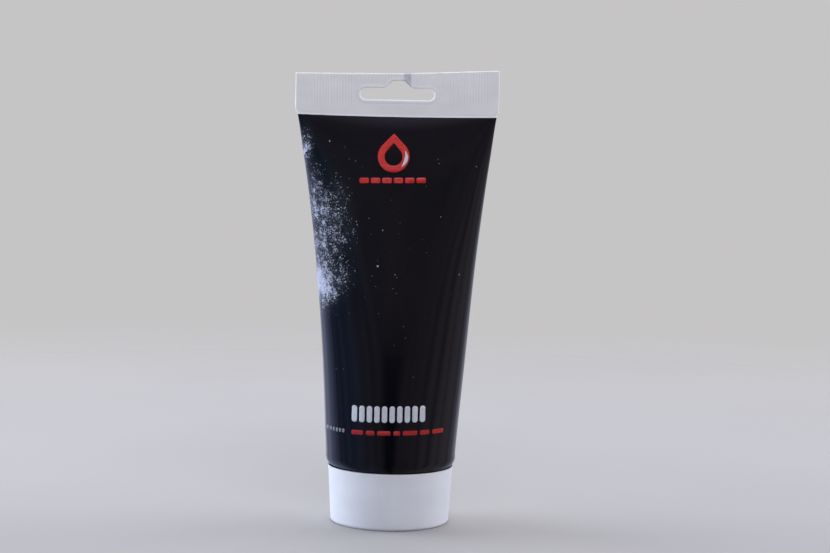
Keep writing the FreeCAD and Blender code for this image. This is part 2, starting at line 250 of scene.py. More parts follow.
def new_piece(name, verts, faces, materials, face_slots=None, smooth=True):
    """A mesh object from points and faces, with its materials."""
    mesh = bpy.data.meshes.new(name)
    mesh.from_pydata([tuple(v) for v in verts], [], faces)
    for material in materials:
        mesh.materials.append(material)
    if face_slots is not None:
        mesh.polygons.foreach_set("material_index", face_slots)
    mesh.polygons.foreach_set("use_smooth", [smooth] * len(mesh.polygons))
    mesh.update()
    piece = bpy.data.objects.new(name, mesh)
    bpy.context.scene.collection.objects.link(piece)
    return piece


def apply_modifiers(piece):
    """Bakes a piece's modifiers into its mesh."""
    bpy.context.view_layer.update()
    graph = bpy.context.evaluated_depsgraph_get()
    mesh = bpy.data.meshes.new_from_object(piece.evaluated_get(graph))
    piece.modifiers.clear()
    piece.data = mesh


def round_corners(corners):
    """An outline of (x, z, radius) corners as points, each corner rounded by its radius."""
    points = []
    count = len(corners)
    for index in range(count):
        x, z, radius = corners[index]
        here = Vector((x, z))
        before = (Vector(corners[index - 1][:2]) - here).normalized()
        after = (Vector(corners[(index + 1) % count][:2]) - here).normalized()
        half = before.angle(after) / 2
        start = here + before * (radius / math.tan(half))
        end = here + after * (radius / math.tan(half))
        centre = here + (before + after).normalized() * (radius / math.sin(half))
        steps = 10
        for step in range(steps + 1):
            share = step / steps
            arm = (start - centre).lerp(end - centre, share).normalized() * radius
            points.append(centre + arm)
    return points


# ---------------------------------------------------------------- materials

SCATTER_RADIUS = (1.0, 1.0, 1.05)
FLOOR_FADE_START = 0.25
FLOOR_FADE_END = 0.85


def set_stops(node, stops):
    """Gives a colour ramp node its (position, colour) stops."""
    elements = node.color_ramp.elements
    while len(elements) < len(stops):
        elements.new(0.5)
    for element, (position, colour) in zip(elements, stops):
        element.position = position
        element.color = (*colour, 1)


class Nodes:
    """Short ways to add shader nodes to one material."""

    def __init__(self, name):
        self.material = bpy.data.materials.new(name)
        self.material.use_nodes = True
        self.tree = self.material.node_tree
        self.shader = self.tree.nodes["Principled BSDF"]

    def add(self, kind, **settings):
        node = self.tree.nodes.new(kind)
        for key, setting in settings.items():
            setattr(node, key, setting)
        return node

    def link(self, source, target):
        self.tree.links.new(source, target)

    def math(self, operation, first, second=0.0, third=None, clamp=False):
        """A Math node on numbers or sockets."""
        node = self.add("ShaderNodeMath", operation=operation, use_clamp=clamp)
        for index, item in enumerate((first, second, third)):
            if item is None:
                continue
            if isinstance(item, (int, float)):
                node.inputs[index].default_value = item
            else:
                self.link(item, node.inputs[index])
        return node.outputs[0]

    def place(self):
        """The object-space position as (x, y, z) sockets, and as a vector."""
        coordinates = self.add("ShaderNodeTexCoord").outputs["Object"]
        split = self.add("ShaderNodeSeparateXYZ")
        self.link(coordinates, split.inputs[0])
        return split.outputs[0], split.outputs[1], split.outputs[2], coordinates

    def noise(self, vector, scale, detail=2.0, roughness=0.5):
        node = self.add("ShaderNodeTexNoise")
        self.link(vector, node.inputs["Vector"])
        node.inputs["Scale"].default_value = scale
        node.inputs["Detail"].default_value = detail
        node.inputs["Roughness"].default_value = roughness
        return node.outputs["Fac"]

    def stretch(self, vector, scale):
        node = self.add("ShaderNodeMapping")
        self.link(vector, node.inputs["Vector"])
        node.inputs["Scale"].default_value = scale
        return node.outputs[0]

    def ramp(self, fac, stops):
        """A colour ramp from (position, colour) stops."""
        node = self.add("ShaderNodeValToRGB")
        self.link(fac, node.inputs[0])
        set_stops(node, stops)
        return node.outputs[0]

    def step(self, item, low, high):
        """0 below low and 1 above high, smooth between."""
        node = self.add("ShaderNodeMapRange", interpolation_type="SMOOTHSTEP")
        self.link(item, node.inputs["Value"])
        node.inputs["From Min"].default_value = low
        node.inputs["From Max"].default_value = high
        return node.outputs["Result"]

    def mix(self, fac, first, second):
        """A mix, by a factor socket, of two colours or colour sockets."""
        node = self.add("ShaderNodeMix", data_type="RGBA")
        self.link(fac, node.inputs["Factor"])
        for socket, item in ((node.inputs["A"], first), (node.inputs["B"], second)):
            if isinstance(item, tuple):
                socket.default_value = (*item, 1)
            else:
                self.link(item, socket)
        return node.outputs["Result"]

    def bump(self, height, strength, distance):
        node = self.add("ShaderNodeBump")
        node.inputs["Strength"].default_value = strength
        node.inputs["Distance"].default_value = distance
        self.link(height, node.inputs["Height"])
        self.link(node.outputs[0], self.shader.inputs["Normal"])

    def set(self, **values):
        """Plain values on the shader's own sockets, named with underscores for spaces."""
        for key, setting in values.items():
            self.shader.inputs[key.replace("_", " ")].default_value = setting


def dust_cover(n, x, y, z):
    """Shader value for how thickly powder lies: the sum of the patches, fading round the side."""
    total = None
    for centre_x, centre_z, spread_x, spread_z, amount in DUST_PATCHES:
        across = n.math("MULTIPLY", n.math("SUBTRACT", x, centre_x * MM), 1 / (spread_x * MM))
        upward = n.math("MULTIPLY", n.math("SUBTRACT", z, centre_z * MM), 1 / (spread_z * MM))
        distance = n.math("MULTIPLY_ADD", across, across, n.math("MULTIPLY", upward, upward))
        patch = n.math("MULTIPLY", n.math("EXPONENT", n.math("MULTIPLY", distance, -0.5)), amount)
        total = patch if total is None else n.math("ADD", total, patch)
    front = n.math("SUBTRACT", 1.0, n.step(y, -3 * MM, 8 * MM))
    return n.math("MULTIPLY", total, front)


def black_print():
    """Glossy varnish over black ink on polyethylene, with powder lying on it in patches."""
    n = Nodes("black_print")
    x, y, z, place = n.place()
    grain = n.noise(place, 2600, 2)
    flow = n.noise(n.stretch(place, (420, 420, 26)), 1.0, 3)
    cover = dust_cover(n, x, y, z)
    coarse = n.noise(place, 340, 3, 0.6)
    fine = n.noise(place, 1700, 3, 0.65)
    level = n.math("MULTIPLY_ADD", coarse, 0.55, n.math("MULTIPLY", fine, 0.65))
    limit = n.math("MULTIPLY_ADD", n.math("MINIMUM", cover, 1.1), -0.24, 0.76)
    powder = n.step(n.math("SUBTRACT", level, limit), -0.03, 0.06)
    powder = n.math("MULTIPLY", powder, n.math("MULTIPLY", n.step(cover, 0.02, 0.22), 0.75))
    haze = n.math("MULTIPLY", n.math("MINIMUM", cover, 1.0), coarse)
    powder = n.math("MULTIPLY_ADD", haze, 0.22, powder, clamp=True)
    black = n.ramp(flow, [(0.3, (0.0016, 0.0018, 0.0032)), (0.7, (0.0024, 0.0025, 0.0040))])
    n.link(n.mix(powder, black, (0.56, 0.61, 0.80)), n.shader.inputs["Base Color"])
    rough = n.math("MULTIPLY_ADD", grain, 0.05, 0.11)
    n.link(n.math("MULTIPLY_ADD", powder, 0.6, rough, clamp=True), n.shader.inputs["Roughness"])
    height = n.math("MULTIPLY_ADD", flow, 0.8, n.math("MULTIPLY", grain, 0.1))
    n.bump(height, 0.3, 0.02 * MM)
    n.set(IOR=1.5)
    return n.material


def white_film():
    """Unprinted polyethylene: milky, faintly cloudy, and blue-grey over the eye mark behind."""
    n = Nodes("white_film")
    x, y, z, place = n.place()
    cloud = n.noise(n.stretch(place, (60, 60, 180)), 1.0, 3)
    body = n.ramp(cloud, [(0.3, (0.87, 0.875, 0.88)), (0.7, (0.93, 0.935, 0.94))])
    aside = n.math("ABSOLUTE", n.math("SUBTRACT", x, EYE_X))
    beyond = n.step(aside, EYE_WIDTH / 2 - 0.5 * MM, EYE_WIDTH / 2 + 0.5 * MM)
    inside = n.math("SUBTRACT", 1.0, beyond)
    high = n.step(z, EYE_LOW_Z - 0.4 * MM, EYE_LOW_Z + 0.4 * MM)
    front = n.math("SUBTRACT", 1.0, n.step(y, -0.2 * MM, 0.2 * MM))
    shadow = n.math("MULTIPLY", n.math("MULTIPLY", inside, high), front)
    colour = n.mix(n.math("MULTIPLY", shadow, 0.55), body, (0.40, 0.40, 0.50))
    n.link(colour, n.shader.inputs["Base Color"])
    fine = n.noise(place, 1900, 2)
    n.link(n.math("MULTIPLY_ADD", fine, 0.12, 0.33), n.shader.inputs["Roughness"])
    n.bump(fine, 0.15, 0.02 * MM)
    n.set(IOR=1.5, Subsurface_Weight=0.1, Subsurface_Radius=SCATTER_RADIUS, Subsurface_Scale=0.6 * MM)
    return n.material


def moulded(name, low, high, rough, scatter):
    """Injection-moulded plastic with faint flow marks and a fine spark-eroded texture."""
    n = Nodes(name)
    place = n.place()[3]
    flow = n.noise(n.stretch(place, (55, 55, 130)), 1.0, 3)
    n.link(n.ramp(flow, [(0.3, low), (0.7, high)]), n.shader.inputs["Base Color"])
    fine = n.noise(place, 3200, 3)
    n.link(n.math("MULTIPLY_ADD", fine, 0.14, rough), n.shader.inputs["Roughness"])
    n.bump(fine, 0.18, 0.02 * MM)
    n.set(IOR=1.49, Subsurface_Weight=scatter, Subsurface_Radius=SCATTER_RADIUS)
    n.set(Subsurface_Scale=1.2 * MM)
    return n.material


def ink(name, low, high):
    """Screen-printed ink: a slightly uneven coat, glossier than paper."""
    n = Nodes(name)
    place = n.place()[3]
    coat = n.noise(place, 900, 4, 0.6)
    n.link(n.ramp(coat, [(0.35, low), (0.65, high)]), n.shader.inputs["Base Color"])
    n.link(n.math("MULTIPLY_ADD", coat, 0.15, 0.22), n.shader.inputs["Roughness"])
    n.bump(coat, 0.1, 0.01 * MM)
    n.set(IOR=1.48, Coat_Weight=0.2, Coat_Roughness=0.15)
    return n.material


def chalk_powder():
    """Dry magnesium carbonate: matt, lumpy, and bluish where it lies thin over the ink."""
    n = Nodes("chalk_powder")
    place = n.place()[3]
    lumps = n.noise(place, 5200, 3, 0.6)
    cover = n.math("MULTIPLY_ADD", n.noise(place, 800, 2), 0.7, n.math("MULTIPLY", lumps, 0.3))
    colour = n.ramp(cover, [(0.36, (0.20, 0.23, 0.32)), (0.62, (0.70, 0.74, 0.86))])
    n.link(colour, n.shader.inputs["Base Color"])
    n.bump(lumps, 0.5, 0.05 * MM)
    n.set(Roughness=0.9, IOR=1.4)
    return n.material


def wet_chalk():
    """Liquid chalk: an opaque white slurry with a wet skin."""
    n = Nodes("wet_chalk")
    place = n.place()[3]
    swirl = n.noise(place, 160, 4, 0.6)
    colour = n.ramp(swirl, [(0.3, (0.76, 0.77, 0.78)), (0.7, (0.88, 0.88, 0.89))])
    n.link(colour, n.shader.inputs["Base Color"])
    n.link(n.math("MULTIPLY_ADD", swirl, 0.2, 0.18), n.shader.inputs["Roughness"])
    n.bump(swirl, 0.3, 0.2 * MM)
    n.set(IOR=1.36, Subsurface_Weight=0.2, Subsurface_Scale=1.0 * MM)
    return n.material


def liner_foam():
    """Closed-cell foam disc with a fine skin."""
    n = Nodes("liner_foam")
    place = n.place()[3]
    cells = n.add("ShaderNodeTexVoronoi")
    cells.inputs["Scale"].default_value = 2400
    n.link(place, cells.inputs["Vector"])
    colour = n.ramp(cells.outputs["Distance"], [(0.1, (0.70, 0.70, 0.68)), (0.6, (0.86, 0.86, 0.84))])
    n.link(colour, n.shader.inputs["Base Color"])
    n.bump(cells.outputs["Distance"], 0.3, 0.05 * MM)
    n.set(Roughness=0.7)
    return n.material


def floor_material():
    """Pale matt floor that fades out into the backdrop's colour."""
    n = Nodes("pale_floor")
    place = n.place()[3]
    mottle = n.noise(place, 5, 3)
    colour = n.ramp(mottle, [(0.3, (0.345, 0.335, 0.325)), (0.7, (0.365, 0.355, 0.345))])
    n.link(colour, n.shader.inputs["Base Color"])
    length = n.add("ShaderNodeVectorMath", operation="LENGTH")
    n.link(place, length.inputs[0])
    faded = n.step(length.outputs["Value"], FLOOR_FADE_START, FLOOR_FADE_END)
    n.link(n.math("SUBTRACT", 1.0, faded), n.shader.inputs["Alpha"])
    n.set(Roughness=0.75)
    return n.material


# ---------------------------------------------------------------- pieces of the tube

EYE_X = 3.8 * MM
EYE_WIDTH = 2.7 * MM
EYE_LOW_Z = TOP - 6.7 * MM


def make_sleeve_wall(print_material, film_material):
    """The sleeve below its crimp: an outside and an inside skin, joined at the roll and the top."""
    inside = sleeve_rows(WALL)
    count = 4 * QUARTER
    rows = OUTSIDE + inside[::-1]
    verts = [point for row in rows for point in row]
    faces = []
    slots = []
    for level in range(len(rows)):
        above = (level + 1) % len(rows)
        dark = level < len(OUTSIDE) - 1 and ROW_Z[level + 1] <= PRINT_TOP_Z - PRINT_SAG + 1e-6
        for index in range(count):
            ahead = (index + 1) % count
            first, second = level * count + index, level * count + ahead
            third, fourth = above * count + ahead, above * count + index
            faces.append((first, second, third, fourth))
            slots.append(0 if dark else 1)
    wall = new_piece("sleeve_wall", verts, faces, [print_material, film_material], slots)
    wall.data.set_sharp_from_angle(angle=math.radians(50))
    return wall


RIB_PITCH = 1.08 * MM
RIB_DEPTH = 0.055 * MM
RIB_MARGIN = 1.9 * MM
RIB_UNEVEN = 0.25  # how much deeper the ribs are pressed at the left end, and shallower at the right
TRIM_ROUND = 0.45 * MM
BOW_DEPTH = 0.2 * MM
BOW_PITCH, BOW_RISE = 0.025, 0.03
LEAST_FLANK = 0.12  # share of the thickness that stays at the trimmed edge and at the folds
# The trimmed edge's height over the tube's nominal top at the left, near the middle and right.
TRIM_LINE = (-1.55 * MM, -1.1 * MM, 0.65 * MM)


def trim_height(x):
    """Height of the cut upper edge, which runs a little crooked."""
    return TOP + float(np.interp(x, (-SEAL_HALF_WIDTH, 2 * MM, SEAL_HALF_WIDTH), TRIM_LINE))


def band_bow(x, z):
    """How far the whole band stands forward or back of its middle plane."""
    wander = noise.noise(Vector((x / BOW_PITCH, z / BOW_RISE, 5.0)))
    return BOW_DEPTH * wander * ease(z, BAND_Z + BAND_LAP, TOP)


def band_skin(x, drop, side):
    """A point of the crimped band's front (side -1) or back (side 1), a drop below the trim."""
    high = trim_height(x)
    z = high - drop if drop < 1 * MM else high + (BAND_Z - high) * drop / BAND_DROPS[0]
    ribbed = ease(z, RIB_LOW_Z - 0.2 * MM, RIB_LOW_Z + 1.8 * MM)
    ribbed *= ease(SEAL_HALF_WIDTH - abs(x), RIB_MARGIN - 0.6 * MM, RIB_MARGIN + 0.6 * MM)
    ribbed *= ease(drop, 0.2 * MM, 1.0 * MM)
    wave = math.cos(math.tau * x / RIB_PITCH)
    rounding = max(1 - drop / TRIM_ROUND, 0.0)
    fold = max(1 - (SEAL_HALF_WIDTH - abs(x)) / SEAL_HALF, 0.0)
    flank = math.sqrt(max(1 - rounding**2, 0.0)) * math.sqrt(max(1 - fold**2, 0.0))
    pressed = RIB_DEPTH * (1 - RIB_UNEVEN * x / SEAL_HALF_WIDTH)
    plain = (SEAL_HALF - BAND_BURY * (1 - lapped(z))) * max(flank, LEAST_FLANK)
    return Vector((x, side * (plain + pressed * wave * ribbed) + band_bow(x, z), z))


# Drops of the band's rows below the trimmed edge, from its lower edge up.
BAND_DROPS = [drop * MM for drop in (
    15.2, 14.6, 14.0, 13.4, 12.8, 12.3, 11.8, 11.3, 10, 8, 6, 4, 2.4, 1.6, 1.1, 0.8, 0.62, 0.45, 0.33,
    0.22, 0.12, 0.05, 0)]


CUT_MARGIN = 0.45 * MM  # the hole is cut this much wide, and the lip lines it


def slot_outline():
    """The hang hole: a slot with round ends and a raised middle."""
    level = TOP - 9.0 * MM
    half, rise, centre = 14.2 * MM, 2.2 * MM, 0.4 * MM
    foot, crown, hump = 5.2 * MM, 2.3 * MM, 2.8 * MM
    end_round, foot_round, crown_round = 2.15 * MM, 1.3 * MM, 1.5 * MM
    corners = [
        (-half, level - rise, end_round),
        (half, level - rise, end_round),
        (half, level + rise, end_round),
        (centre + foot, level + rise, foot_round),
        (centre + crown, level + rise + hump, crown_round),
        (centre - crown, level + rise + hump, crown_round),
        (centre - foot, level + rise, foot_round),
        (-half, level + rise, end_round),
    ]
    return round_corners(corners)


def make_crimped_band(film_material):
    """The flattened, ribbed seal with its hang hole cut through."""
    columns = 640
    inner = SEAL_HALF_WIDTH - SEAL_HALF
    turns = np.linspace(0, math.pi / 2, 6)[:-1]
    folds = [SEAL_HALF_WIDTH - SEAL_HALF * (1 - math.cos(turn)) for turn in turns]
    middle = list(np.linspace(-inner, inner, columns + 1))
    xs = [-fold for fold in folds] + middle + folds[::-1]
    verts = []
    for side in (-1, 1):
        for drop in BAND_DROPS:
            verts += [band_skin(x, drop, side) for x in xs]
    stride = len(xs)
    levels = len(BAND_DROPS)
    back = stride * levels
    faces = []
    for level in range(levels - 1):
        for index in range(stride - 1):
            here = level * stride + index
            faces.append((here, here + 1, here + 1 + stride, here + stride))
            other = back + here
            faces.append((other + 1, other, other + stride, other + 1 + stride))
    top = (levels - 1) * stride
    for index in range(stride - 1):
        faces.append((index + 1, index, back + index, back + index + 1))
        faces.append((top + index, top + index + 1, back + top + index + 1, back + top + index))
    for level in range(levels - 1):
        here = level * stride
        faces.append((here, here + stride, back + here + stride, back + here))
        here += stride - 1
        faces.append((here + stride, here, back + here, back + here + stride))
    band = new_piece("crimped_band", verts, faces, [film_material])
    cut_through(band, grown(slot_outline(), CUT_MARGIN), film_material)
    band.data.set_sharp_from_angle(angle=math.radians(50))
    return band


def grown(outline, reach):
    """An anticlockwise outline moved outwards by a reach."""
    points = []
    for index, point in enumerate(outline):
        along = (outline[(index + 1) % len(outline)] - outline[index - 1]).normalized()
        points.append(point + Vector((along.y, -along.x)) * reach)
    return points


# The lip's section in millimetres: how far outside the hole's edge, and how far off the middle
# plane. It is round towards the hole and runs out flat over the band.
LIP_SECTION = (
    (0.0, 0.0), (0.02, 0.20), (0.09, 0.38), (0.20, 0.52), (0.34, 0.61), (0.50, 0.645), (0.68, 0.64),
    (0.90, 0.61), (1.15, 0.57), (1.40, 0.53), (1.55, 0.46), (1.58, 0.30))


def make_slot_lip(film_material):
    """The slightly swollen edge that punching leaves round the hang hole."""
    section = list(LIP_SECTION)
    section += [(reach, -depth) for reach, depth in LIP_SECTION[:0:-1]]
    count = len(slot_outline())
    verts = []
    for reach, depth in section:
        for point in grown(slot_outline(), reach * MM):
            verts.append((point.x, band_bow(point.x, point.y) - depth * MM, point.y))
    faces = []
    for line in range(len(section)):
        here, beside = line * count, (line + 1) % len(section) * count
        for index in range(count):
            ahead = (index + 1) % count
            faces.append((here + index, here + ahead, beside + ahead, beside + index))
    return new_piece("slot_lip", verts, faces, [film_material])


def cut_through(piece, outline, material):
    """Cuts an outline of (x, z) points through a piece along Y."""
    reach = 4 * MM
    count = len(outline)
    verts = [(p.x, -reach, p.y) for p in outline] + [(p.x, reach, p.y) for p in outline]
    faces = [tuple(range(count)), tuple(range(2 * count - 1, count - 1, -1))]
    for index in range(count):
        ahead = (index + 1) % count
        faces.append((ahead, index, count + index, count + ahead))
    cutter = new_piece("slot_cutter", verts, faces, [material], smooth=False)
    modifier = piece.modifiers.new("slot", "BOOLEAN")
    modifier.operation = "DIFFERENCE"
    modifier.solver = "EXACT"
    modifier.object = cutter
    apply_modifiers(piece)
    bpy.data.objects.remove(cutter)


INK_LIFT = 0.035 * MM
HIGHLIGHT_LIFT = 0.11 * MM
INK_THICKNESS = 1.6  # against its lift, so that the coat's back is inside the wall


def printed(name, outlines, material, lift=INK_LIFT):
    """Ink on the front: flat outlines of (x, z) points laid on it and given a little thickness."""
    mesh = bpy.data.meshes.new(name)
    work = bmesh.new()
    for outline in outlines:
        work.faces.new([work.verts.new((p.x, 0, p.y)) for p in outline])
    bmesh.ops.remove_doubles(work, verts=work.verts[:], dist=0.001 * MM)
    for axis, pitch in ((0, 0.8 * MM), (2, 1.2 * MM)):
        values = [v.co[axis] for v in work.verts]
        cut = math.ceil(min(values) / pitch) * pitch
        normal = Vector((0, 0, 0))
        normal[axis] = 1
        while cut < max(values):
            everything = work.verts[:] + work.edges[:] + work.faces[:]
            bmesh.ops.bisect_plane(work, geom=everything, plane_co=normal * cut, plane_no=normal)
            cut += pitch
    for vert in work.verts:
        x, z = vert.co.x, vert.co.z
        vert.co = front_point(x, z) + front_normal(x, z) * lift
    work.normal_update()
    if sum(face.normal.y for face in work.faces) > 0:
        bmesh.ops.reverse_faces(work, faces=work.faces[:])
    work.to_mesh(mesh)
    work.free()
    mesh.materials.append(material)
    mesh.polygons.foreach_set("use_smooth", [True] * len(mesh.polygons))
    piece = bpy.data.objects.new(name, mesh)
    bpy.context.scene.collection.objects.link(piece)
    solid = piece.modifiers.new("ink", "SOLIDIFY")
    solid.thickness = lift * INK_THICKNESS
    solid.offset = -1
    apply_modifiers(piece)
    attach(piece, TUBE)


def bar(centre_x, centre_z, width, height, radius):
    """A rounded rectangle as outline points."""
    x, z = width / 2, height / 2
    corners = [(-x, -z), (x, -z), (x, z), (-x, z)]
    return round_corners([(centre_x + dx, centre_z + dz, radius) for dx, dz in corners])


def droplet(centre_x, centre_z, radius, reach):
    """A drop: a round belly of a radius, drawn up to a point at a reach above its centre."""
    opening = math.acos(radius / reach)
    points = []
    steps = 56
    for step in range(steps + 1):
        turn = math.pi / 2 - opening - (math.tau - 2 * opening) * step / steps
        points.append(Vector((centre_x + radius * math.cos(turn), centre_z + radius * math.sin(turn))))
    tip = Vector((centre_x, centre_z + reach))
    blunt = radius * 0.06
    points.append(tip + (points[-1] - tip).normalized() * blunt)
    points.append(tip + (points[0] - tip).normalized() * blunt)
    return points[::-1]


def crescent(centre_x, centre_z, radius, start, end, thickness):
    """A curved highlight that thins to both its ends, which stay a little blunt."""
    steps = 24
    outer, inner = [], []
    for step in range(steps + 1):
        turn = math.radians(start + (end - start) * step / steps)
        taper = math.sin(math.pi * (0.04 + 0.92 * step / steps))
        for side, line in ((0.5, outer), (-0.5, inner)):
            reach = radius + side * thickness * taper
            line.append(Vector((centre_x + reach * math.cos(turn), centre_z + reach * math.sin(turn))))
    return outer + inner[::-1]


def between(outer, inner):
    """The ring between two outlines of as many points each, as four-sided pieces."""
    pieces = []
    for index, point in enumerate(outer):
        ahead = (index + 1) % len(outer)
        pieces.append([point, outer[ahead], inner[ahead], inner[index]])
    return pieces


def row_of_bars(left, centre_z, widths, gap, height, radius):
    """Rounded bars side by side from a left end."""
    bars = []
    for width in widths:
        bars.append(bar(left + width / 2, centre_z, width, height, radius))
        left += width + gap
    return bars


PRINT_CLIMB = 0.02  # how much the print's lines climb to the right


def make_front_print(red, deep_red, white, grey):
    """Generic marks in the places and sizes of the real print, with no lettering."""
    belly_x, belly_z = -0.9 * MM, 140.7 * MM
    outer_radius, outer_reach = 6.0 * MM, 8.7 * MM
    inner_radius, inner_reach = 3.4 * MM, 5.2 * MM
    shine_radius, shine_start, shine_end, shine_width = 4.8 * MM, -52, 26, 1.3 * MM
    outer = droplet(belly_x, belly_z, outer_radius, outer_reach)
    inner = droplet(belly_x, belly_z - 0.1 * MM, inner_radius, inner_reach)
    printed("emblem_drop", between(outer, inner), red)
    shine = crescent(belly_x + 0.1 * MM, belly_z, shine_radius, shine_start, shine_end, shine_width)
    printed("emblem_shine", [shine], white, lift=HIGHLIGHT_LIFT)
    # Each line: name, ink, and in millimetres the left end, the height, the bars' widths, the gap
    # between them, their height and the radius of their corners.
    lines = (
        ("name_bars", red, -13.6, 131.7, [3.6] * 6, 0.7, 2.0, 0.5),
        ("title_bars", white, -14.6, 44.5, [2.0] * 10, 0.84, 6.2, 0.9),
        ("note_bars", deep_red, -14.6, 37.5, (4.4, 3.2, 5.0, 2.5, 5.4, 3.5, 4.2), 1.05, 1.7, 0.5),
        ("volume_ticks", grey, -24.4, 37.6, [0.8] * 6, 0.45, 1.5, 0.25),
    )
    for name, ink_material, left, level, widths, gap, height, radius in lines:
        widths = [width * MM for width in widths]
        bars = row_of_bars(left * MM, level * MM, widths, gap * MM, height * MM, radius * MM)
        for outline in bars:
            for point in outline:
                point.y += PRINT_CLIMB * point.x
        printed(name, bars, ink_material)


def make_eye_mark(black):
    """The dark register mark on the back of the band, which shows through to the front."""
    low, high = EYE_LOW_Z, trim_height(EYE_X) - 0.4 * MM
    rows = 8
    verts, faces = [], []
    for depth in (0.3 * MM, SEAL_HALF + RIB_DEPTH + 0.03 * MM):
        for row in range(rows + 1):
            z = low + (high - low) * row / rows
            for x in (EYE_X - EYE_WIDTH / 2, EYE_X + EYE_WIDTH / 2):
                verts.append((x, depth + band_bow(x, z), z))
    stride = 2 * (rows + 1)
    for row in range(rows):
        here = 2 * row
        faces.append((here, here + 1, here + 3, here + 2))
        faces.append((stride + here + 1, stride + here, stride + here + 2, stride + here + 3))
        faces.append((here + 2, stride + here + 2, stride + here, here))
        faces.append((here + 1, stride + here + 1, stride + here + 3, here + 3))
    last = 2 * rows
    faces.append((1, 0, stride, stride + 1))
    faces.append((last, last + 1, stride + last + 1, stride + last))
    mark = new_piece("eye_mark", verts, faces, [black], smooth=False)
    cut_through(mark, grown(slot_outline(), CUT_MARGIN), black)
    return mark


# ---------------------------------------------------------------- chalk dust

DUST_SEED = 41
# Patches of dust on the front in millimetres: x and z of the middle, the two spreads, and how
# thickly the powder lies there.
DUST_PATCHES = (
    (-34.9, 142.0, 1.9, 5.0, 0.64),
    (-31.5, 131.0, 2.6, 4.2, 0.28),
    (-29.6, 120.5, 3.2, 4.2, 0.72),
    (-21.8, 121.0, 3.4, 6.5, 0.20),
    (-28.2, 106.5, 3.4, 5.4, 0.56),
    (-21.5, 110.0, 3.4, 5.0, 0.22),
    (-27.6, 93.5, 2.7, 4.4, 0.80),
    (-29.0, 92.0, 1.4, 3.0, 0.45),
    (-20.8, 95.0, 2.8, 3.4, 0.38),
    (-25.0, 89.0, 2.6, 2.8, 0.46),
    (-26.8, 84.5, 2.6, 2.6, 0.18),
)
FLAKES_PER_PATCH = 80
STRAY_FLAKES = 90
# The mean and spread of the logarithm of a flake's size in millimetres, and the largest size.
FLAKE_MEAN, FLAKE_SPREAD, FLAKE_LARGEST = -2.1, 0.42, 0.45
CLUMP_PITCH, GRAIN_PITCH = 0.0028, 0.0011
EDGE_MARGIN = 0.12 * MM
# Lumps that stand out by themselves, in millimetres: x, z, and size against a flake's.
LUMPS = (
    (0.6, 96.5, 2.6),
    (-6.0, 99.5, 1.8),
    (-4.4, 113.0, 1.6),
    (16.0, 140.0, 1.6),
    (30.5, 137.4, 2.0),
)


def flake(middle, normal, size, rng):
    """A low, uneven lump of powder as points and triangles."""
    across = normal.orthogonal().normalized()
    along = normal.cross(across)
    count = rng.choice((5, 6, 7))
    start = rng.random() * math.tau
    points = [middle + normal * size * rng.uniform(0.25, 0.5)]
    for index in range(count):
        turn = start + math.tau * index / count
        reach = size * rng.uniform(0.55, 1.0)
        points.append(middle + (across * math.cos(turn) + along * math.sin(turn)) * reach)
    triangles = [(0, 1 + index, 1 + (index + 1) % count) for index in range(count)]
    triangles.append(tuple(range(count, 0, -1)))
    return points, triangles


def dust_places(rng):
    """Where flakes land and how large: thick in the patches, a few strays, and the lumps."""
    for centre_x, centre_z, spread_x, spread_z, amount in DUST_PATCHES:
        for _ in range(int(FLAKES_PER_PATCH * amount * spread_x * spread_z)):
            yield rng.gauss(centre_x, spread_x) * MM, rng.gauss(centre_z, spread_z) * MM, 1.0
    for _ in range(STRAY_FLAKES):
        yield rng.gauss(-8, 18) * MM, rng.gauss(102, 20) * MM, 0.8
    for x, z, size in LUMPS:
        yield x * MM, z * MM, size


def make_dust(material):
    """Chalk powder thrown against the left of the front."""
    rng = random.Random(DUST_SEED)
    verts, faces = [], []
    for x, z, scale in dust_places(rng):
        sway = SWAY * math.sin(math.pi * climb(z))
        if abs(x - sway) > half_width(z) - EDGE_MARGIN or not FLATTEN_Z < z < PRINT_TOP_Z - 1 * MM:
            continue
        clump = noise.noise(Vector((x / CLUMP_PITCH, z / CLUMP_PITCH, 7.7)))
        clump += 0.5 * noise.noise(Vector((x / GRAIN_PITCH, z / GRAIN_PITCH, 2.2)))
        if scale == 1.0 and clump < rng.uniform(-0.45, 0.35):
            continue
        size = min(rng.lognormvariate(FLAKE_MEAN, FLAKE_SPREAD), FLAKE_LARGEST) * scale * MM
        middle = front_point(x, z, lift=0.01 * MM)
        points, triangles = flake(middle, front_normal(x, z), size, rng)
        faces += [tuple(len(verts) + corner for corner in triangle) for triangle in triangles]
        verts += points
    dust = new_piece("chalk_dust", verts, faces, [material])
    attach(dust, TUBE)


# ---------------------------------------------------------------- stage, light and camera

BACKDROP = (0.565, 0.555, 0.56)
SKY = (4, 4.1, 4.2)
# Heights, as the sine of the elevation, between which the level view gives way to the raised one.
LEVEL_END, RAISED_START = 0.04, 0.16
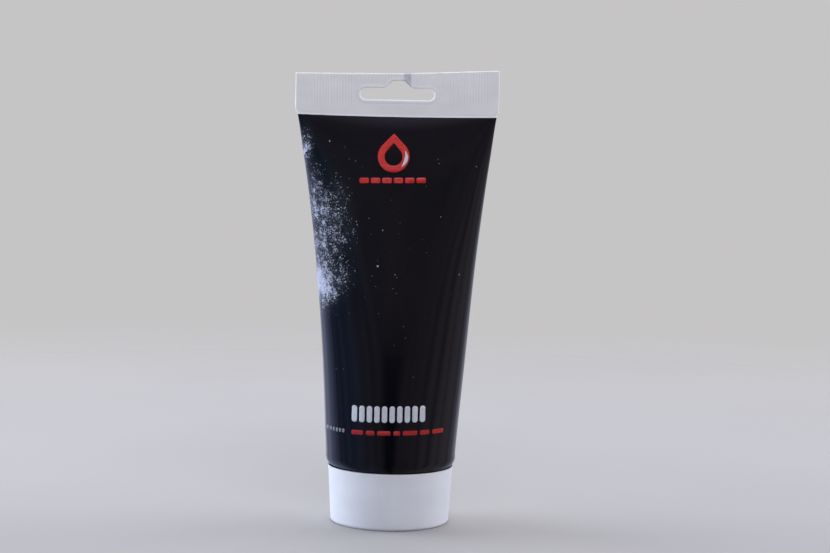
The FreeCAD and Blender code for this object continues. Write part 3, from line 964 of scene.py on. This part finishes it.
# What stands round the tube, by bearing in degrees: 0 is behind the camera, negative is to the
# tube's left, and 180 is behind the tube.
LEVEL_VIEW = (
    (-180, (0.60, 0.60, 0.64)),
    (-128, (0.52, 0.60, 0.92)),
    (-104, (0.26, 0.32, 0.58)),
    (-98, (0.08, 0.10, 0.20)),
    (-92, (0.19, 0.26, 0.48)),
    (-84, (0.06, 0.08, 0.18)),
    (-76, (0.16, 0.23, 0.44)),
    (-68, (0.09, 0.13, 0.28)),
    (-60, (0.17, 0.23, 0.42)),
    (-48, (0.13, 0.15, 0.26)),
    (-40, (0.21, 0.20, 0.30)),
    (-24, (0.15, 0.13, 0.17)),
    (-14, (0.13, 0.12, 0.16)),
    (-7, (0.004, 0.006, 0.02)),
    (4, (0.006, 0.008, 0.03)),
    (12, (0.16, 0.13, 0.16)),
    (28, (0.14, 0.11, 0.15)),
    (38, (0.22, 0.18, 0.21)),
    (46, (0.12, 0.11, 0.15)),
    (58, (0.24, 0.22, 0.28)),
    (70, (0.16, 0.14, 0.17)),
    (80, (0.35, 0.30, 0.32)),
    (92, (0.20, 0.18, 0.23)),
    (102, (0.34, 0.29, 0.32)),
    (120, (0.20, 0.19, 0.25)),
    (148, (0.34, 0.36, 0.44)),
    (180, (0.60, 0.60, 0.64)),
)
RAISED_VIEW = (
    (-180, (0.60, 0.60, 0.66)),
    (-125, (0.48, 0.54, 0.84)),
    (-95, (0.14, 0.17, 0.34)),
    (-70, (0.07, 0.11, 0.22)),
    (-52, (0.09, 0.16, 0.26)),
    (-34, (0.08, 0.13, 0.20)),
    (-24, (0.15, 0.22, 0.30)),
    (-15, (0.16, 0.15, 0.20)),
    (-5, (0.16, 0.14, 0.18)),
    (20, (0.16, 0.14, 0.18)),
    (32, (0.14, 0.13, 0.17)),
    (44, (0.22, 0.19, 0.23)),
    (56, (0.13, 0.12, 0.15)),
    (68, (0.29, 0.23, 0.25)),
    (80, (0.16, 0.15, 0.18)),
    (96, (0.34, 0.30, 0.34)),
    (112, (0.19, 0.18, 0.22)),
    (140, (0.38, 0.38, 0.46)),
    (180, (0.60, 0.60, 0.66)),
)


def by_bearing(view):
    """The stops of a view as positions along a ramp."""
    return [((bearing + 180) / 360, colour) for bearing, colour in view]


def make_world():
    """Soft surroundings: bright behind the tube and dim behind the camera, with sky above."""
    world = bpy.data.worlds.new("studio")
    bpy.context.scene.world = world
    world.use_nodes = True
    tree = world.node_tree
    tree.nodes.clear()
    nodes, links = tree.nodes, tree.links
    direction = nodes.new("ShaderNodeTexCoord").outputs["Generated"]
    split = nodes.new("ShaderNodeSeparateXYZ")
    links.new(direction, split.inputs[0])

    def ramp(socket, low, high, stops):
        """A colour ramp over a socket's values from low to high."""
        span = nodes.new("ShaderNodeMapRange")
        span.inputs["From Min"].default_value = low
        span.inputs["From Max"].default_value = high
        links.new(socket, span.inputs["Value"])
        node = nodes.new("ShaderNodeValToRGB")
        links.new(span.outputs[0], node.inputs[0])
        set_stops(node, stops)
        return node.outputs[0]

    def combine(mode, first, second, factor=None):
        """Two colours put together in a blend mode, in full or by a factor socket."""
        node = nodes.new("ShaderNodeMix")
        node.data_type = "RGBA"
        node.blend_type = mode
        if factor is None:
            node.inputs["Factor"].default_value = 1
        else:
            links.new(factor, node.inputs["Factor"])
        links.new(first, node.inputs["A"])
        links.new(second, node.inputs["B"])
        return node.outputs["Result"]

    flipped = nodes.new("ShaderNodeMath")
    flipped.operation = "MULTIPLY"
    flipped.inputs[1].default_value = -1
    links.new(split.outputs[1], flipped.inputs[0])
    bearing = nodes.new("ShaderNodeMath")
    bearing.operation = "ARCTAN2"
    links.new(split.outputs[0], bearing.inputs[0])
    links.new(flipped.outputs[0], bearing.inputs[1])
    level = ramp(bearing.outputs[0], -math.pi, math.pi, by_bearing(LEVEL_VIEW))
    raised = ramp(bearing.outputs[0], -math.pi, math.pi, by_bearing(RAISED_VIEW))
    low_or_high = ramp(split.outputs[2], LEVEL_END, RAISED_START, [(0.0, (0, 0, 0)), (1.0, (1, 1, 1))])
    lighting = combine("MIX", level, raised, low_or_high)
    sky = ramp(split.outputs[2], 0, 1, [(0.0, (1, 1, 1)), (0.8, (1, 1, 1)), (1.0, SKY)])
    lighting = combine("MULTIPLY", lighting, sky)
    streaks = nodes.new("ShaderNodeTexNoise")
    stretch = nodes.new("ShaderNodeMapping")
    stretch.inputs["Scale"].default_value = (7, 7, 0.9)
    links.new(direction, stretch.inputs["Vector"])
    links.new(stretch.outputs[0], streaks.inputs["Vector"])
    streaks.inputs["Scale"].default_value = 1.0
    streaks.inputs["Detail"].default_value = 3.0
    band = ramp(streaks.outputs["Fac"], 0.3, 0.7, [(0.0, (0.62, 0.62, 0.66)), (1.0, (1.35, 1.32, 1.3))])
    lighting = combine("MULTIPLY", lighting, band)
    surroundings = nodes.new("ShaderNodeBackground")
    links.new(lighting, surroundings.inputs["Color"])
    surroundings.inputs["Strength"].default_value = 1.0
    plain = nodes.new("ShaderNodeBackground")
    plain.inputs["Color"].default_value = (*BACKDROP, 1)
    chosen = nodes.new("ShaderNodeMixShader")
    links.new(nodes.new("ShaderNodeLightPath").outputs["Is Camera Ray"], chosen.inputs[0])
    links.new(surroundings.outputs[0], chosen.inputs[1])
    links.new(plain.outputs[0], chosen.inputs[2])
    links.new(chosen.outputs[0], nodes.new("ShaderNodeOutputWorld").inputs[0])


def add_light(name, place, target, width, height, power, colour):
    """A soft rectangular light aimed at a point."""
    light = bpy.data.lights.new(name, "AREA")
    light.shape = "RECTANGLE"
    light.size = width
    light.size_y = height
    light.energy = power
    light.color = colour
    lamp = bpy.data.objects.new(name, light)
    lamp.location = place
    lamp.rotation_euler = (Vector(target) - Vector(place)).to_track_quat("-Z", "Y").to_euler()
    lamp.visible_glossy = False
    bpy.context.scene.collection.objects.link(lamp)


# Each lamp: name, place, width, height, power in watts, and colour. All aim at the tube's middle.
LAMPS = (
    ("front_fill", (0.14, -1.22, 1.0), 1.1, 0.8, 9.2, (1.0, 1.0, 0.98)),
    ("left_key", (-1.06, 0.33, 0.42), 0.8, 0.8, 16, (0.90, 0.96, 1.0)),
    ("right_key", (0.98, 0.45, 0.42), 0.8, 0.8, 9.5, (0.90, 0.95, 1.0)),
    ("back_glow", (0.0, 1.0, 0.75), 1.2, 0.7, 5.5, (1.0, 0.99, 0.97)),
    ("overhead", (0.0, 0.1, 1.3), 0.9, 0.9, 4, (0.97, 0.98, 1.0)),
)
LAMP_TARGET = (0, 0, 0.09)


def make_lights():
    """Soft lamps that light the matt surfaces and stay out of the varnish's reflections."""
    for name, place, width, height, power, colour in LAMPS:
        add_light(name, place, LAMP_TARGET, width, height, power, colour)


FLOOR_RADIUS = 1.2


def make_stage():
    """A round pale floor under the tube."""
    floor = bpy.data.objects.new("floor", bpy.data.meshes.new("floor"))
    work = bmesh.new()
    bmesh.ops.create_circle(work, cap_ends=True, segments=96, radius=FLOOR_RADIUS)
    work.to_mesh(floor.data)
    work.free()
    floor.data.materials.append(floor_material())
    bpy.context.scene.collection.objects.link(floor)
    floor.visible_glossy = False


CAMERA_DISTANCE = 754 * MM
CAMERA_HEIGHT = 151.7 * MM
CAMERA_ASIDE = 8.1 * MM
CAMERA_TILT = math.radians(4.32)
CAMERA_ROLL = math.radians(1.15)
FOCAL_LENGTH = 85.4


def make_camera():
    """The view: a long lens almost level with the tube's top, rolled a little."""
    camera = bpy.data.objects.new("camera", bpy.data.cameras.new("camera"))
    camera.data.lens = FOCAL_LENGTH
    camera.data.sensor_width = 36
    camera.data.clip_start = 0.01
    tilt = Matrix.Rotation(math.pi / 2 - CAMERA_TILT, 4, "X")
    roll = Matrix.Rotation(CAMERA_ROLL, 4, "Z")
    place = Matrix.Translation((CAMERA_ASIDE, -CAMERA_DISTANCE, CAMERA_HEIGHT))
    camera.matrix_world = place @ tilt @ roll
    bpy.context.scene.collection.objects.link(camera)
    bpy.context.scene.camera = camera


# ---------------------------------------------------------------- putting it together


def dress(node, material):
    """Gives a CAD node its material."""
    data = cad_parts[node].data
    data.materials.clear()
    data.materials.append(material)


def build():
    """Makes and dresses every piece of the tube."""
    print_material = black_print()
    film_material = white_film()
    wall = make_sleeve_wall(print_material, film_material)
    band = make_crimped_band(film_material)
    lip = make_slot_lip(film_material)
    mark = make_eye_mark(ink("mark_ink", (0.010, 0.010, 0.012), (0.016, 0.016, 0.018)))
    for piece in (wall, band, lip, mark):
        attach(piece, TUBE)
    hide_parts("tube_sleeve")
    red = ink("red_ink", (0.52, 0.016, 0.014), (0.62, 0.024, 0.018))
    deep_red = ink("deep_red_ink", (0.34, 0.014, 0.014), (0.42, 0.020, 0.018))
    white = ink("white_ink", (0.54, 0.57, 0.64), (0.62, 0.65, 0.72))
    grey = ink("grey_ink", (0.16, 0.16, 0.19), (0.22, 0.22, 0.25))
    make_front_print(red, deep_red, white, grey)
    make_dust(chalk_powder())
    dress("screw_cap", moulded("cap_plastic", (0.745, 0.77, 0.84), (0.785, 0.81, 0.88), 0.34, 0.2))
    dress("tube_head", moulded("head_plastic", (0.78, 0.79, 0.80), (0.84, 0.845, 0.85), 0.30, 0.4))
    dress("cap_liner", liner_foam())
    dress("liquid_chalk", wet_chalk())


build()
make_stage()
make_world()
make_lights()
make_camera()
bpy.context.scene.view_settings.view_transform = "Standard"
